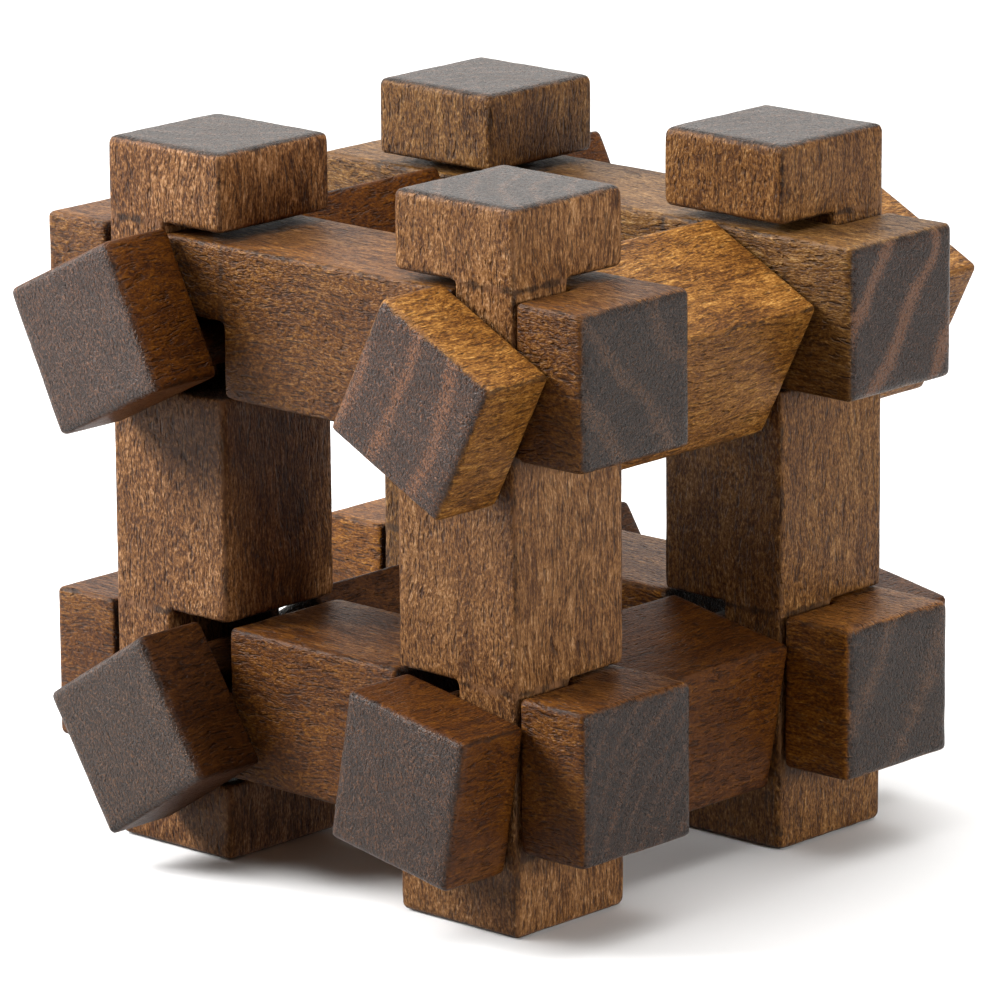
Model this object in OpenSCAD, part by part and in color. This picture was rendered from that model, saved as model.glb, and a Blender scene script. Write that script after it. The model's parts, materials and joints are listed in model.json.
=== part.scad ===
// Wooden cage burr puzzle: twelve notched square rods, four each way, that lock in eight
// three-rod knots. Eight rods stay still: four posts and four rails. The other four, the keys,
// have round necks and turn in the channels that the posts and rails leave at the knots.
// X runs along the rails, Y along the keys and Z along the posts, which stand on Z = 0.
// "Outer" and "inner" are away from and towards the middle of the cage.

/* [Rods] */
// Side of the square section of every rod
rod_w = 16; // [12:0.5:20]
// Length of the posts and the rails
rod_len = 74; // [64:1:90]
// Length of the keys
key_len = 74.5; // [64:0.5:90]
// Distance between the centre lines of two parallel rods
pitch = 40; // [34:0.5:46]
// Distance between the middles of a post's two notches
post_pitch = 40.6; // [34:0.1:46]

/* [Edges] */
// Radius of the long edges
long_edge_r = 0.4; // [0.2:0.1:1.5]
// Radius of the edges around the rod ends
end_edge_r = 0.7; // [0.3:0.1:2]
// Radius of the edges around each notch
notch_edge_r = 0.6; // [0.2:0.1:1.5]

/* [Fits] */
// Gap on each side of a rod in a post's notch
post_slack = 0.45; // [0.1:0.05:0.8]
// Gap on each side of a rod in a rail's notch
rail_slack = 0.2; // [0.1:0.05:0.8]
// Gap on each side of a rod in a key's notch
key_slack = 0.3; // [0.1:0.05:0.8]
// Gap between the lapped halves of a post and a rail
lap_gap = 0.3; // [0.05:0.05:0.8]
// Gap on each side of a key's round neck in its square channel
neck_play = 1.7; // [0.8:0.05:2]

/* [Keys] */
// Turn of the upper right key, clockwise seen from the front, in degrees
turn_right_top = 27; // [-180:0.5:180]
// Turn of the upper left key, in degrees
turn_left_top = -26.5; // [-180:0.5:180]
// Turn of the lower right key, in degrees
turn_right_bottom = 10; // [-180:0.5:180]
// Turn of the lower left key, in degrees
turn_left_bottom = -32.5; // [-180:0.5:180]
// Where the upper right key has settled, as shares of its free play: outward, down and back
seat_right_top = [0.7, 0.2, 0.6]; // [-0.9:0.1:0.9]
// Where the upper left key has settled
seat_left_top = [0.9, 0, -0.6]; // [-0.9:0.1:0.9]
// Where the lower right key has settled
seat_right_bottom = [0.7, 0.1, 0.6]; // [-0.9:0.1:0.9]
// Where the lower left key has settled
seat_left_bottom = [0.3, 0.6, -0.6]; // [-0.9:0.1:0.9]

/* [Rails] */
// Where the upper front rail lies in its notches, as shares of the gaps: right and up
seat_front_top = [-0.8, -1]; // [-1:0.1:1]
// Where the lower front rail lies
seat_front_bottom = [0, 0.7]; // [-1:0.1:1]
// Where the upper back rail lies
seat_back_top = [0.8, -1]; // [-1:0.1:1]
// Where the lower back rail lies
seat_back_bottom = [0, 1]; // [-1:0.1:1]

/* [Hidden] */
$fn = 64;
half_w = rod_w / 2;
half_len = rod_len / 2;
half_pitch = pitch / 2;
knot_z = post_pitch / 2;            // from mid_z to the middle of each level of knots
mid_z = half_len;                   // height of the middle of the cage
post_reach = half_w + post_slack;   // half the length of a notch in each kind of rod
rail_reach = half_w + rail_slack;
key_reach = half_w + key_slack;
bite = 1.2 * notch_edge_r;          // how far a web runs into the blocks beside its notch
wide = 2 * rod_w;                   // more than any section, for cuts right through
neck_r = (half_w - 2 * neck_play) / 2;
free_play = neck_play - max(post_slack, rail_slack); // what the necks keep wherever the rails have settled
neck_off = rod_w / 4;               // from a key's centre line to its neck's, along X and Z
neck_x = half_pitch - neck_off;     // from the middle of the cage to a channel's centre line
neck_z = knot_z - neck_off;
oak = "#85583a";
tan_wood = "#93683f";
umber = "#6d4428";

// A range on the outer or the inner side of zero, starting gap away from it
function side(s, gap = 0) = s > 0 ? [gap, wide] : [-wide, -gap];

// A rectangle with round corners of radius r, centred
module round_rect(x, y, r) {
    square([x - 2 * r, y], center = true);
    square([x, y - 2 * r], center = true);
    for (sx = [-1, 1], sy = [-1, 1])
        translate([sx * (x / 2 - r), sy * (y / 2 - r)])
            circle(r);
}

// The side outline of a block from z0 to z1, with corner radius r0 below and r1 above
module side_outline(z0, z1, r0, r1) {
    translate([-half_w, z0 + r0])
        square([rod_w, z1 - z0 - r0 - r1]);
    translate([r0 - half_w, z0])
        square([rod_w - 2 * r0, r0 + r1]);
    translate([r1 - half_w, z1 - r0 - r1])
        square([rod_w - 2 * r1, r0 + r1]);
    for (s = [-1, 1]) {
        translate([s * (half_w - r0), z0 + r0])
            circle(r0);
        translate([s * (half_w - r1), z1 - r1])
            circle(r1);
    }
}

// A full-section block of a rod along Z
module block(z0, z1, r0, r1) {
    intersection() {
        translate([0, 0, z0])
            linear_extrude(z1 - z0)
                round_rect(rod_w, rod_w, long_edge_r);
        rotate([90, 0, 0])
            linear_extrude(wide, center = true)
                side_outline(z0, z1, r0, r1);
        rotate([90, 0, 90])
            linear_extrude(wide, center = true)
                side_outline(z0, z1, r0, r1);
    }
}

// The two ends and the middle of a rod along Z of half length half. Its notches lie between
// them, each with its middle at knot and a half length of reach
module blocks(half, knot, reach) {
    block(-half, -knot - reach, end_edge_r, notch_edge_r);
    block(reach - knot, knot - reach, notch_edge_r, notch_edge_r);
    block(knot + reach, half, notch_edge_r, end_edge_r);
}

// What is left of a rod along Z in a notch: its section cut down to xs by ys, from z0 to z1
module web(z0, z1, xs, ys) {
    intersection() {
        translate([0, 0, min(z0, z1)])
            linear_extrude(abs(z1 - z0))
                round_rect(rod_w, rod_w, long_edge_r);
        translate([xs[0], ys[0], -rod_len])
            cube([xs[1] - xs[0], ys[1] - ys[0], 2 * rod_len]);
    }
}

// A post, centred. Its necks are a quarter of the section: on the outer side along X, and
// on the low or the high side along Y at the upper and the lower knots
module post(outer, side_top, side_bottom) {
    blocks(half_len, knot_z, post_reach);
    for (end = [-1, 1])
        web(
            end * (knot_z - post_reach - bite),
            end * (knot_z + post_reach + bite),
            side(outer, lap_gap / 2),
            side(end > 0 ? side_top : side_bottom, lap_gap / 2)
        );
}

// A rail, drawn along Z and centred, with local -X up. It gives way to the post on post_side
// of its outer half, and to the key on the inner face of its inner half
module rail(up, post_side) {
    blocks(half_len, half_pitch, rail_reach);
    inner = half_pitch - rail_reach - bite;
    outer = half_pitch + rail_reach + bite;
    key_roof = side(-up);
    beside_post = side(-post_side, lap_gap / 2);
    through = [-wide, wide];
    for (end = [-1, 1]) {
        web(end * inner, end * (half_pitch - lap_gap / 2), key_roof, through);
        web(end * half_pitch, end * outer, through, beside_post);
        web(end * inner, end * outer, key_roof, beside_post);
    }
}

// A key, drawn along Z about its neck's centre line. Its centre line lies outer and up of that
module key(outer, up) {
    translate([outer * neck_off, -up * neck_off])
        blocks(key_len / 2, half_pitch, key_reach);
    cylinder(h = 2 * (half_pitch + key_reach + bite), r = neck_r, center = true);
}

module place_post(right, back) {
    translate([right * half_pitch, back * half_pitch, mid_z])
        children();
}

// A rail lies on the lower shoulders of the posts' notches when its seat's second share is -1,
// and is pushed up against the upper ones when it is 1
module place_rail(back, up, seat) {
    rise = up * knot_z + seat[1] * post_slack;
    translate([seat[0] * rail_slack, back * half_pitch, mid_z + rise])
        rotate([0, 90, 0])
            children();
}

// A key has settled in its channel, and is turned about its neck
module place_key(right, up, turn, seat) {
    out = right * (neck_x + seat[0] * free_play);
    drop = seat[1] * free_play;
    translate([out, seat[2] * key_slack, mid_z + up * neck_z - drop])
        rotate([0, turn, 0])
            rotate([-90, 0, 0])
                children();
}

module post_front_right() {
    color(tan_wood) place_post(1, -1) post(1, -1, -1);
}

module post_front_left() {
    color(oak) place_post(-1, -1) post(-1, -1, -1);
}

module post_back_right() {
    color(oak) place_post(1, 1) post(1, 1, -1);
}

module post_back_left() {
    color(oak) place_post(-1, 1) post(-1, 1, -1);
}

module rail_front_top() {
    color(oak) place_rail(-1, 1, seat_front_top) rail(1, -1);
}

module rail_front_bottom() {
    color(oak) place_rail(-1, -1, seat_front_bottom) rail(-1, -1);
}

module rail_back_top() {
    color(umber) place_rail(1, 1, seat_back_top) rail(1, 1);
}

module rail_back_bottom() {
    color(umber) place_rail(1, -1, seat_back_bottom) rail(-1, -1);
}

module key_right_top() {
    color(tan_wood) place_key(1, 1, turn_right_top, seat_right_top) key(1, 1);
}

module key_left_top() {
    color(oak) place_key(-1, 1, turn_left_top, seat_left_top) key(-1, 1);
}

module key_right_bottom() {
    color(oak) place_key(1, -1, turn_right_bottom, seat_right_bottom) key(1, -1);
}

module key_left_bottom() {
    color(umber) place_key(-1, -1, turn_left_bottom, seat_left_bottom) key(-1, -1);
}

post_front_right();
post_front_left();
post_back_right();
post_back_left();
rail_front_top();
rail_front_bottom();
rail_back_top();
rail_back_bottom();
key_right_top();
key_left_top();
key_right_bottom();
key_left_bottom();
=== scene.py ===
"""Wooden cage burr puzzle: finished rods, stained wood, studio light and camera around the CAD frame."""

import json
import math

import bpy
import numpy as np
from mathutils import Matrix, Quaternion, Vector, noise


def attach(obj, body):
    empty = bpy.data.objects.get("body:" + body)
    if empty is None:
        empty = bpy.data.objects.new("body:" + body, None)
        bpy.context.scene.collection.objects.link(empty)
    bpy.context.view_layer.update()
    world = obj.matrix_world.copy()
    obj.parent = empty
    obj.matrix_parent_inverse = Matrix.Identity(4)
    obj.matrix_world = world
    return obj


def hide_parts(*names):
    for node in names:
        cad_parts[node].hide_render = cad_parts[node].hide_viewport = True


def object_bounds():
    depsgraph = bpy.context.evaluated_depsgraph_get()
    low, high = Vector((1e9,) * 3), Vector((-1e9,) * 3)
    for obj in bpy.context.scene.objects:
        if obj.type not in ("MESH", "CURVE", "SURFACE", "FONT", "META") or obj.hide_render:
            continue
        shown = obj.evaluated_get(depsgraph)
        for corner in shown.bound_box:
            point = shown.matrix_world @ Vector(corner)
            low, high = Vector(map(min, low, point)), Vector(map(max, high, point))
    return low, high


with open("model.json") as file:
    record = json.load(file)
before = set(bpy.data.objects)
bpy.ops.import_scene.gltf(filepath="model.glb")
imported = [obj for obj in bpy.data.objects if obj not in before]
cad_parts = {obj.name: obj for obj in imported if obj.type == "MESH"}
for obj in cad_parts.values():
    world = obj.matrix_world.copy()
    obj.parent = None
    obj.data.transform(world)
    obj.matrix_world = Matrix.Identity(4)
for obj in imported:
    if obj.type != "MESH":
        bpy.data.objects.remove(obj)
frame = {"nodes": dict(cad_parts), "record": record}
CAD_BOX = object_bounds()

MM = 0.001
CENTRE = (CAD_BOX[0] + CAD_BOX[1]) / 2
HALF_W = 8.0  # half the section of a rod, in mm

# Camera: a long lens from the front right, a little above the puzzle
CAM_AZIMUTH = math.radians(42.76)
CAM_ELEVATION = math.radians(14.2)
CAM_ROLL = math.radians(-0.42)
CAM_DISTANCE = 0.761
CAM_LENS = 266.2
CAM_SHIFT = 0.001
SENSOR = 36.0
AIM_BELOW_CENTRE = 0.002

# Finished meshes
VOXEL = 0.36 * MM
FACES = 15000
EASE_ROUNDS = 4
WAVINESS = 0.02 * MM
WORN_SHARE = 0.35  # how much of the eased shape a rod takes on where it is little worn

# Middle and half width of the summed grain noises that the stain's colours span
TONE_MIDDLE = 1.235
TONE_SPREAD = 0.38

# From the middle of a rod to the middle of a notch, and half the notch's length, in mm
NOTCH = {"post": (20.3, 8.45), "rail": (20.0, 8.2), "key": (20.0, 8.3)}

# Along, first and second cross direction of each kind of rod
DIRECTIONS = {
    "post": ((0, 0, 1), (1, 0, 0), (0, 1, 0)),
    "rail": ((1, 0, 0), (0, 1, 0), (0, 0, 1)),
    "key": ((0, 1, 0), (0, 0, 1), (1, 0, 0)),
}


def rod_place(node):
    """The matrix that carries a rod drawn along Z about its middle to where the CAD node lies."""
    along, c1, c2 = (Vector(d) for d in DIRECTIONS[node.name.split("_")[0]])
    world = node.matrix_world
    turned = world.to_3x3()
    s = c = 0.0
    for face in node.data.polygons:
        n = turned @ face.normal
        if abs(n.dot(along)) < 0.05:
            angle = 4 * math.atan2(n.dot(c2), n.dot(c1))
            s += face.area * math.sin(angle)
            c += face.area * math.cos(angle)
    turn = Quaternion(c1.cross(c2), math.atan2(s, c) / 4)
    axes = [turn @ c1, turn @ c2, c1.cross(c2)]
    points = [world @ v.co for v in node.data.vertices]
    middle = Vector()
    for a in axes:
        reach = [p.dot(a) for p in points]
        middle += a * (min(reach) + max(reach)) / 2
    place = Matrix(axes).transposed().to_4x4()
    place.translation = middle
    return place


def with_modifier(mesh, kind, **settings):
    """A new mesh: the given one through one modifier."""
    obj = bpy.data.objects.new("work", mesh)
    bpy.context.scene.collection.objects.link(obj)
    mod = obj.modifiers.new("work", kind)
    for key, value in settings.items():
        setattr(mod, key, value)
    deps = bpy.context.evaluated_depsgraph_get()
    out = bpy.data.meshes.new_from_object(obj.evaluated_get(deps))
    bpy.data.objects.remove(obj)
    bpy.data.meshes.remove(mesh)
    return out


def array(items, prop, width, kind=np.float64):
    out = np.empty(len(items) * width, kind)
    items.foreach_get(prop, out)
    return out.reshape(-1, width) if width > 1 else out


def eased(points, edges, rounds):
    """Points moved towards their neighbours' mean, which rounds the edges and leaves flat faces."""
    count = len(points)
    a, b = edges[:, 0], edges[:, 1]
    near = np.bincount(a, minlength=count) + np.bincount(b, minlength=count)
    out = points.copy()
    for _ in range(rounds):
        mean = np.stack(
            [
                np.bincount(a, out[b, i], count) + np.bincount(b, out[a, i], count)
                for i in range(3)
            ],
            1,
        )
        out += 0.6 * (mean / near[:, None] - out)
    return out


def field(points, scale, seed):
    """Smooth seeded noise at each point, about -1 to 1. scale is cycles per mm on each axis."""
    spots = points / MM * np.array(scale) + np.array([seed * 17.3, seed * 5.9, seed * 11.1])
    return np.array([noise.noise(Vector(s)) for s in spots])


def finished_mesh(node, place, seed):
    """The CAD rod with hand-sanded edges, never outside the CAD surface but for filled inner corners."""
    mesh = node.data.copy()
    mesh.transform(place.inverted() @ node.matrix_world)
    mesh.materials.clear()
    mesh = with_modifier(mesh, "REMESH", mode="VOXEL", voxel_size=VOXEL, adaptivity=0.0)
    points = array(mesh.vertices, "co", 3)
    normals = array(mesh.vertices, "normal", 3)
    edges = array(mesh.edges, "vertices", 2, np.int32)
    soft = eased(points, edges, EASE_ROUNDS)
    inward = np.maximum(-np.sum((soft - points) * normals, 1), 0.0)
    wear = WORN_SHARE + 0.8 * field(points, (0.35, 0.35, 0.22), seed)
    nick = np.clip(field(points, (0.9, 0.9, 0.7), seed + 0.5) - 0.42, 0, 1) * 3.0
    depth = inward * np.clip(wear + nick, 0.1, 1.5)
    depth += WAVINESS * (1 + field(points, (0.16, 0.16, 0.05), seed + 0.3))
    points -= normals * depth[:, None]
    mesh.vertices.foreach_set("co", points.ravel())
    mesh.update()
    ratio = FACES / (2 * len(mesh.polygons))
    mesh = with_modifier(mesh, "DECIMATE", ratio=ratio)
    mesh.polygons.foreach_set("use_smooth", [True] * len(mesh.polygons))
    return with_modifier(mesh, "WEIGHTED_NORMAL", mode="FACE_AREA", weight=60)


class Nodes:
    """Short ways to add shader nodes to one material."""

    def __init__(self, tree):
        self.tree = tree

    def put(self, socket, value):
        if isinstance(value, bpy.types.NodeSocket):
            self.tree.links.new(value, socket)
        else:
            socket.default_value = value

    def add(self, kind, inputs=(), **settings):
        node = self.tree.nodes.new(kind)
        for key, value in settings.items():
            setattr(node, key, value)
        for key, value in dict(inputs).items():
            self.put(node.inputs[key], value)
        return node

    def math(self, op, a, b=0.0):
        return self.add("ShaderNodeMath", {0: a, 1: b}, operation=op).outputs[0]

    def vector(self, op, a, b=(0, 0, 0)):
        node = self.add("ShaderNodeVectorMath", {0: a, 1: b}, operation=op)
        return node.outputs["Value" if op in ("LENGTH", "DOT_PRODUCT") else "Vector"]

    def noise(self, vector, scale, detail=2.0, rough=0.5, warp=0.0):
        """Noise with its own scale on each axis, in cycles per mm."""
        spots = self.vector("MULTIPLY", vector, scale)
        node = self.add(
            "ShaderNodeTexNoise",
            {"Vector": spots, "Scale": 1.0, "Detail": detail, "Roughness": rough, "Distortion": warp},
        )
        return node.outputs["Fac"]

    def ramp(self, value, low, high, smooth=True):
        """0 at low, 1 at high."""
        node = self.add(
            "ShaderNodeMapRange",
            {"Value": value, "From Min": low, "From Max": high},
            interpolation_type="SMOOTHSTEP" if smooth else "LINEAR",
        )
        return node.outputs["Result"]

    def colours(self, value, stops):
        """Colour ramp through (position, linear rgb) stops."""
        node = self.add("ShaderNodeValToRGB", {"Fac": value})
        ramp = node.color_ramp
        while len(ramp.elements) < len(stops):
            ramp.elements.new(0.5)
        for element, (position, rgb) in zip(ramp.elements, stops):
            element.position = position
            element.color = (*rgb, 1)
        return node.outputs["Color"]

    def mix(self, factor, a, b, blend="MIX"):
        node = self.add("ShaderNodeMix", data_type="RGBA", blend_type=blend)
        self.put(node.inputs["Factor"], factor)
        for socket, value in ((node.inputs[6], a), (node.inputs[7], b)):
            self.put(socket, value if isinstance(value, bpy.types.NodeSocket) else (*value, 1))
        return node.outputs[2]


def tinted(rgb, stain_and_light_tint):
    return tuple(c * t for c, t in zip(rgb, stain_and_light_tint))


def wood(
    name,
    half_length,
    notch,
    seed,
    stain_and_light_tint=(1, 1, 1),
    end_stain_and_light_tint=(1, 1, 1),
    contrast=1.0,
    speck=(0.4, 0.4),
    pith=(14, -9),
    ring=2.6,
    bands=0.12,
):
    """Solid stained wood in a rod's own space: grain along Z, rings about a pith off to one side."""
    mat = bpy.data.materials.new(name)
    mat.use_nodes = True
    n = Nodes(mat.node_tree)
    bsdf = mat.node_tree.nodes["Principled BSDF"]
    coords = n.add("ShaderNodeTexCoord").outputs
    p = n.vector("MULTIPLY", coords["Object"], (1000, 1000, 1000))
    q = n.vector("ADD", p, (seed * 31.7, seed * 12.9, seed * 53.3))

    # Wander of the grain, so that no line is dead straight
    wander = n.add("ShaderNodeTexNoise", {"Vector": q, "Scale": 0.11, "Detail": 1.0}).outputs["Color"]
    wander = n.vector("SUBTRACT", wander, (0.5, 0.5, 0.5))
    q = n.vector("ADD", q, n.vector("MULTIPLY", wander, (2.2, 2.2, 0)))
    r = n.vector("ADD", p, n.vector("MULTIPLY", wander, (3.0, 3.0, 0)))

    # End grain faces up to the rod's own Z, side grain doesn't
    facing = n.vector("MULTIPLY", coords["Normal"], (0, 0, 1))
    end = n.ramp(n.vector("LENGTH", facing), 0.55, 0.9)

    # Rings about the pith, and rays out from it
    out = n.vector("SUBTRACT", r, (pith[0], pith[1], 0))
    flat = n.vector("MULTIPLY", out, (1, 1, 0.06))
    radius = n.vector("LENGTH", flat)
    parts = n.add("ShaderNodeSeparateXYZ", {"Vector": out}).outputs
    angle = n.math("ARCTAN2", parts["Y"], parts["X"])
    swell = n.noise(q, (0.1, 0.1, 0.02), 1.0)
    turns = n.math("ADD", n.math("DIVIDE", radius, ring), n.math("MULTIPLY", swell, 0.7))
    band = n.math("PINGPONG", turns, 0.5)
    band = n.math("MULTIPLY", band, 2.0)
    around = n.math("MULTIPLY", angle, 26.0)
    polar = n.add("ShaderNodeCombineXYZ", {"X": around, "Y": radius, "Z": parts["Z"]})
    rays = n.noise(polar.outputs["Vector"], (2.4, 0.22, 0.3), 1.0, 0.4)

    # Fibres, from short fine flecks to long streaks
    faces = n.add("ShaderNodeSeparateXYZ", {"Vector": n.vector("ABSOLUTE", coords["Normal"])}).outputs
    specked = n.math("MULTIPLY", faces["X"], speck[0])
    specked = n.math("ADD", specked, n.math("MULTIPLY", faces["Y"], speck[1]))
    dashes = n.noise(q, (3.6, 3.6, 0.5), 2.0, 0.62, 0.2)
    specks = n.noise(q, (3.0, 3.0, 1.7), 2.0, 0.68, 0.3)
    fleck = n.math("MULTIPLY", n.math("SUBTRACT", specks, dashes), n.math("MAXIMUM", specked, end))
    fleck = n.math("ADD", fleck, dashes)
    streak = n.noise(q, (1.4, 1.4, 0.16), 2.0, 0.55)
    pores = n.noise(n.vector("ADD", q, (7.0, 3.0, 11.0)), (3.0, 3.0, 0.6), 1.0, 0.5)
    blotch = n.noise(q, (0.16, 0.16, 0.09), 3.0, 0.6)
    fine = n.noise(q, (6.0, 6.0, 2.4), 2.0, 0.6)

    tone = n.math("ADD", fleck, n.math("MULTIPLY", streak, 0.34))
    tone = n.math("ADD", tone, n.math("MULTIPLY", band, 0.05))
    tone = n.math("ADD", tone, n.math("MULTIPLY", blotch, 0.36))
    tone = n.math("ADD", tone, n.math("MULTIPLY", fine, 0.72))
    spread = TONE_SPREAD / contrast
    tone = n.ramp(tone, TONE_MIDDLE - spread, TONE_MIDDLE + spread, smooth=False)
    # The rod's tint multiplies these stops. It is the rod's own stain and also painted light and shade for
    # the whole rod.
    side_colour = n.colours(
        tone,
        (
            (0.0, tinted((0.020, 0.006, 0.0012), stain_and_light_tint)),
            (0.35, tinted((0.080, 0.028, 0.0055), stain_and_light_tint)),
            (0.62, tinted((0.22, 0.094, 0.022), stain_and_light_tint)),
            (1.0, tinted((0.52, 0.29, 0.11), stain_and_light_tint)),
        ),
    )
    dark_pore = n.ramp(pores, 0.58, 0.70)
    pore_colour = tinted((0.022, 0.010, 0.005), stain_and_light_tint)
    side_colour = n.mix(n.math("MULTIPLY", dark_pore, 0.5), side_colour, pore_colour)

    grains = n.math("ADD", n.math("MULTIPLY", fleck, 0.9), n.math("MULTIPLY", fine, 0.9))
    grains = n.math("ADD", grains, n.math("MULTIPLY", rays, 0.3))
    stripe = n.math("SUBTRACT", n.ramp(band, 0.5, 0.95), 0.25)
    grains = n.math("ADD", grains, n.math("MULTIPLY", stripe, bands))
    grains = n.ramp(grains, 0.94, 1.32, smooth=False)
    # The rod's end tint multiplies these stops. It is the end grain's own stain and also painted light and
    # shade for the rod's end faces.
    end_colour = n.colours(
        grains,
        (
            (0.0, tinted((0.008, 0.0038, 0.002), end_stain_and_light_tint)),
            (0.5, tinted((0.032, 0.015, 0.0075), end_stain_and_light_tint)),
            (1.0, tinted((0.1, 0.049, 0.024), end_stain_and_light_tint)),
        ),
    )
    colour = n.mix(end, side_colour, end_colour)

    # Edges: distance from the nearest arris, broken up by noise
    size = n.vector("ABSOLUTE", p)
    ax = n.add("ShaderNodeSeparateXYZ", {"Vector": size}).outputs
    to_x = n.math("SUBTRACT", HALF_W, ax["X"])
    to_y = n.math("SUBTRACT", HALF_W, ax["Y"])
    to_end = n.math("SUBTRACT", half_length, ax["Z"])
    to_notch = n.math("SUBTRACT", n.math("ABSOLUTE", n.math("SUBTRACT", ax["Z"], notch[0])), notch[1])
    to_cut = n.math("MINIMUM", to_end, n.math("ABSOLUTE", to_notch))
    low = n.math("MINIMUM", to_x, to_y)
    high = n.math("MAXIMUM", to_x, to_y)
    second = n.math("MINIMUM", n.math("MAXIMUM", low, to_cut), high)
    ragged = n.noise(q, (0.9, 0.9, 0.6), 2.0, 0.6)
    second = n.math("ADD", second, n.math("MULTIPLY", n.math("SUBTRACT", ragged, 0.5), 1.2))
    rim = n.ramp(second, 0.5, 0.1)
    # Lighter wood along broken stretches of every arris: partly sanding wear, partly a painted highlight on
    # the edges.
    wear_and_highlight = n.math("MULTIPLY", rim, n.ramp(n.noise(q, (0.35, 0.35, 0.2), 1.0), 0.42, 0.62))
    colour = n.mix(n.math("MULTIPLY", rim, 0.75), colour, (0.010, 0.005, 0.003))
    colour = n.mix(n.math("MULTIPLY", wear_and_highlight, 0.5), colour, tinted((0.30, 0.13, 0.04), stain_and_light_tint))

    height = n.math("SUBTRACT", n.math("ADD", fleck, n.math("MULTIPLY", fine, 0.5)), dark_pore)
    bump = n.add("ShaderNodeBump", {"Height": height, "Strength": 1.0, "Distance": 0.00016})
    rough = n.add("ShaderNodeMapRange", {"Value": tone, "To Min": 0.56, "To Max": 0.4}).outputs["Result"]
    rough = n.math("SUBTRACT", rough, n.math("MULTIPLY", end, 0.17))
    sheen = n.add("ShaderNodeMapRange", {"Value": end, "To Min": 0.18, "To Max": 0.24}).outputs["Result"]
    n.put(bsdf.inputs["Base Color"], colour)
    n.put(bsdf.inputs["Roughness"], rough)
    n.put(bsdf.inputs["Specular IOR Level"], sheen)
    n.put(bsdf.inputs["Normal"], bump.outputs["Normal"])
    bsdf.inputs["IOR"].default_value = 1.45
    return mat


# Per-rod tints and end tints: partly each rod's own stain, partly painted light and shade. They lighten or
# darken whole rods and their end grain to suit how light falls on them: the lower keys and rails are darker,
# the front posts paler.
LOOKS = {
    "post_front_right": dict(
        seed=1, stain_and_light_tint=(1.06, 1.12, 1.5), contrast=0.95, speck=(0.15, 0.9), pith=(15, 11), ring=3.1
    ),
    "post_front_left": dict(
        seed=2, stain_and_light_tint=(1.04, 1.06, 1.4), contrast=1.1, speck=(0.3, 1.0), pith=(-13, 16)
    ),
    "post_back_right": dict(seed=3, stain_and_light_tint=(0.84, 0.86, 0.95), speck=(0.6, 0.8)),
    "post_back_left": dict(seed=4, stain_and_light_tint=(0.7, 0.74, 0.8), speck=(0.6, 0.8)),
    "rail_front_top": dict(
        seed=5, stain_and_light_tint=(0.68, 0.6, 0.42), speck=(1.0, 0.2), pith=(-30, -22), ring=6.0, bands=0.16
    ),
    "rail_front_bottom": dict(
        seed=6, stain_and_light_tint=(0.6, 0.48, 0.25), end_stain_and_light_tint=(0.9, 0.85, 0.85), speck=(0.8, 0.2)
    ),
    "rail_back_top": dict(
        seed=7, stain_and_light_tint=(0.78, 0.85, 0.85), end_stain_and_light_tint=(1.4, 1.25, 1.2), pith=(-30, 18), ring=7.0, bands=0.34
    ),
    "rail_back_bottom": dict(seed=8, stain_and_light_tint=(1.0, 0.85, 0.4), pith=(-30, 18), ring=7.5, bands=0.16),
    "key_right_top": dict(
        seed=9, stain_and_light_tint=(1.18, 1.15, 0.85), end_stain_and_light_tint=(2.5, 2.1, 1.8), pith=(-4, -32), ring=6.0, bands=0.17
    ),
    "key_left_top": dict(
        seed=10, stain_and_light_tint=(0.46, 0.32, 0.08), end_stain_and_light_tint=(1.9, 1.8, 1.9), contrast=0.8, speck=(0.6, 0.6), bands=0.03
    ),
    "key_right_bottom": dict(
        seed=11, stain_and_light_tint=(0.42, 0.3, 0.11), end_stain_and_light_tint=(1.5, 1.35, 1.2), contrast=0.8, bands=0.03
    ),
    "key_left_bottom": dict(
        seed=12, stain_and_light_tint=(0.26, 0.19, 0.11), end_stain_and_light_tint=(1.6, 1.6, 1.6), contrast=0.8, bands=0.03
    ),
}


def finished_rods():
    bodies = frame["record"]["behaviour"]["bodies"]
    body_of = {node: body for body, nodes in bodies.items() for node in nodes}
    for name, look in LOOKS.items():
        node = frame["nodes"][name]
        place = rod_place(node)
        mesh = finished_mesh(node, place, look["seed"])
        rod = bpy.data.objects.new(name + ".wood", mesh)
        bpy.context.scene.collection.objects.link(rod)
        rod.matrix_world = place
        half_length = max(v.co.z for v in mesh.vertices) / MM
        notch = NOTCH[name.split("_")[0]]
        mesh.materials.append(wood("stained_wood." + name, half_length, notch, **look))
        bpy.context.view_layer.update()
        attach(rod, body_of[name])
        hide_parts(name)


def softbox(name, azimuth, elevation, distance, width, height, power):
    """A rectangular area light that looks at the middle of the puzzle."""
    data = bpy.data.lights.new(name, "AREA")
    data.shape = "RECTANGLE"
    data.size = width
    data.size_y = height
    data.energy = power
    light = bpy.data.objects.new(name, data)
    bpy.context.scene.collection.objects.link(light)
    light.location = CENTRE + away(math.radians(azimuth), math.radians(elevation)) * distance
    light.rotation_euler = (CENTRE - light.location).to_track_quat("-Z", "Y").to_euler()


def away(azimuth, elevation):
    """The direction from the puzzle at that azimuth and elevation. Azimuth 0 is the front."""
    flat = math.cos(elevation)
    return Vector((math.sin(azimuth) * flat, -math.cos(azimuth) * flat, math.sin(elevation)))


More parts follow.
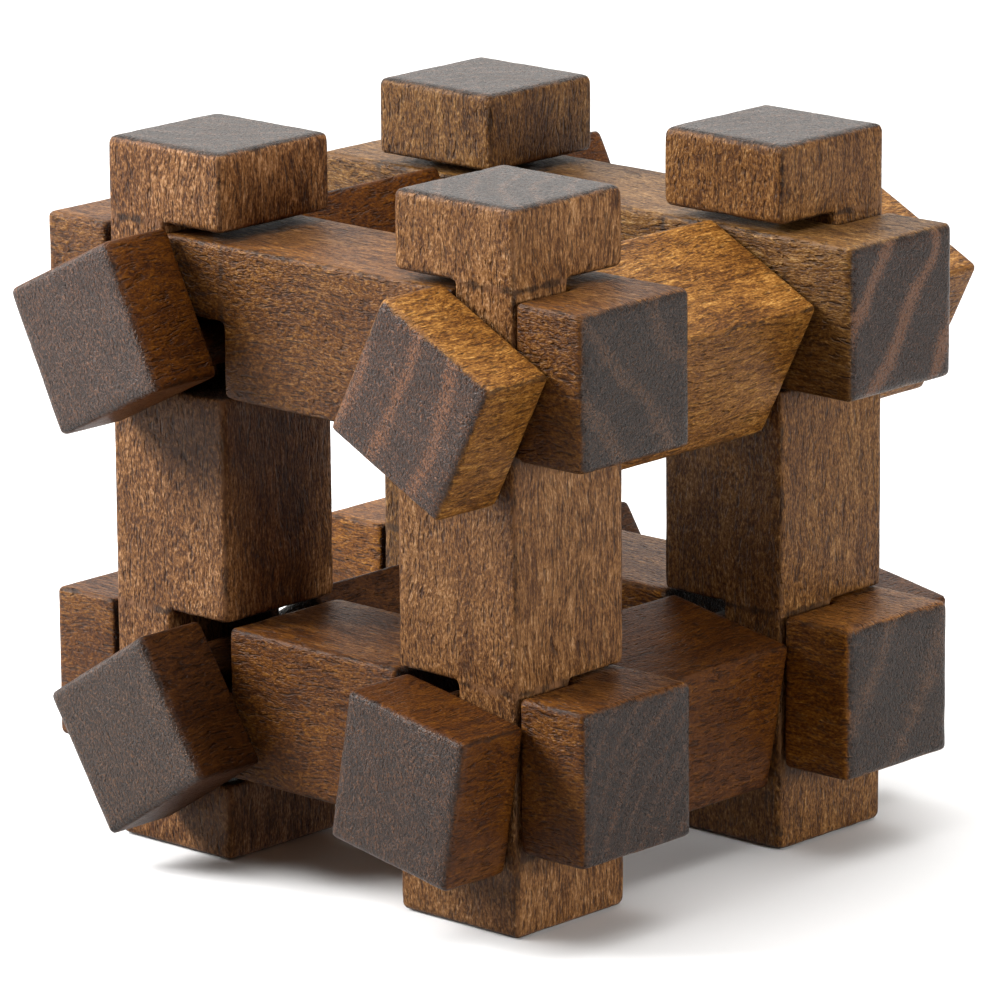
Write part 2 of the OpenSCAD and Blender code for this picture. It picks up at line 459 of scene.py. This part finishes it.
def studio():
    floor_mesh = bpy.data.meshes.new("floor")
    reach = 6.0
    corners = [(-reach, -reach, 0), (reach, -reach, 0), (reach, reach, 0), (-reach, reach, 0)]
    floor_mesh.from_pydata(corners, [], [(0, 1, 2, 3)])
    floor = bpy.data.objects.new("floor", floor_mesh)
    floor.location.z = CAD_BOX[0].z
    bpy.context.scene.collection.objects.link(floor)
    paper = bpy.data.materials.new("white_paper")
    paper.use_nodes = True
    bsdf = paper.node_tree.nodes["Principled BSDF"]
    bsdf.inputs["Base Color"].default_value = (0.82, 0.82, 0.82, 1)
    bsdf.inputs["Roughness"].default_value = 0.9
    floor_mesh.materials.append(paper)
    floor.visible_diffuse = False

    world = bpy.data.worlds.new("studio")
    bpy.context.scene.world = world
    world.use_nodes = True
    n = Nodes(world.node_tree)
    sky = world.node_tree.nodes["Background"]
    direction = n.add("ShaderNodeTexCoord").outputs["Generated"]
    behind = n.vector("DOT_PRODUCT", direction, tuple(-away(CAM_AZIMUTH, 0)))
    n.put(sky.inputs["Color"], n.mix(n.ramp(behind, 0.1, 0.6), (0.085, 0.060, 0.040), (1.55, 1.55, 1.52)))
    card = n.add("ShaderNodeBackground", {"Color": (1, 1, 1, 1), "Strength": 1.0})
    seen = n.add("ShaderNodeLightPath").outputs["Is Camera Ray"]
    both = n.add("ShaderNodeMixShader", {0: seen, 1: sky.outputs[0], 2: card.outputs[0]})
    n.put(world.node_tree.nodes["World Output"].inputs["Surface"], both.outputs[0])

    softbox("left_box", -52, 30, 0.6, 0.3, 0.3, 7.6)
    softbox("right_box", 88, 10, 0.6, 0.22, 0.16, 2.6)
    softbox("top_box", 42, 88, 0.9, 0.9, 0.9, 12)
    bpy.context.scene.view_settings.view_transform = "Standard"


def camera():
    data = bpy.data.cameras.new("camera")
    data.sensor_width = SENSOR
    data.lens = CAM_LENS
    data.shift_x = CAM_SHIFT
    data.clip_start = 0.05
    data.clip_end = 20.0
    cam = bpy.data.objects.new("camera", data)
    bpy.context.scene.collection.objects.link(cam)
    cam.location = CENTRE + away(CAM_AZIMUTH, CAM_ELEVATION) * CAM_DISTANCE
    aim = CENTRE - Vector((0, 0, AIM_BELOW_CENTRE))
    turn = (aim - cam.location).to_track_quat("-Z", "Y")
    cam.rotation_mode = "QUATERNION"
    cam.rotation_quaternion = turn @ Quaternion((0, 0, 1), CAM_ROLL)
    bpy.context.scene.camera = cam


finished_rods()
studio()
camera()
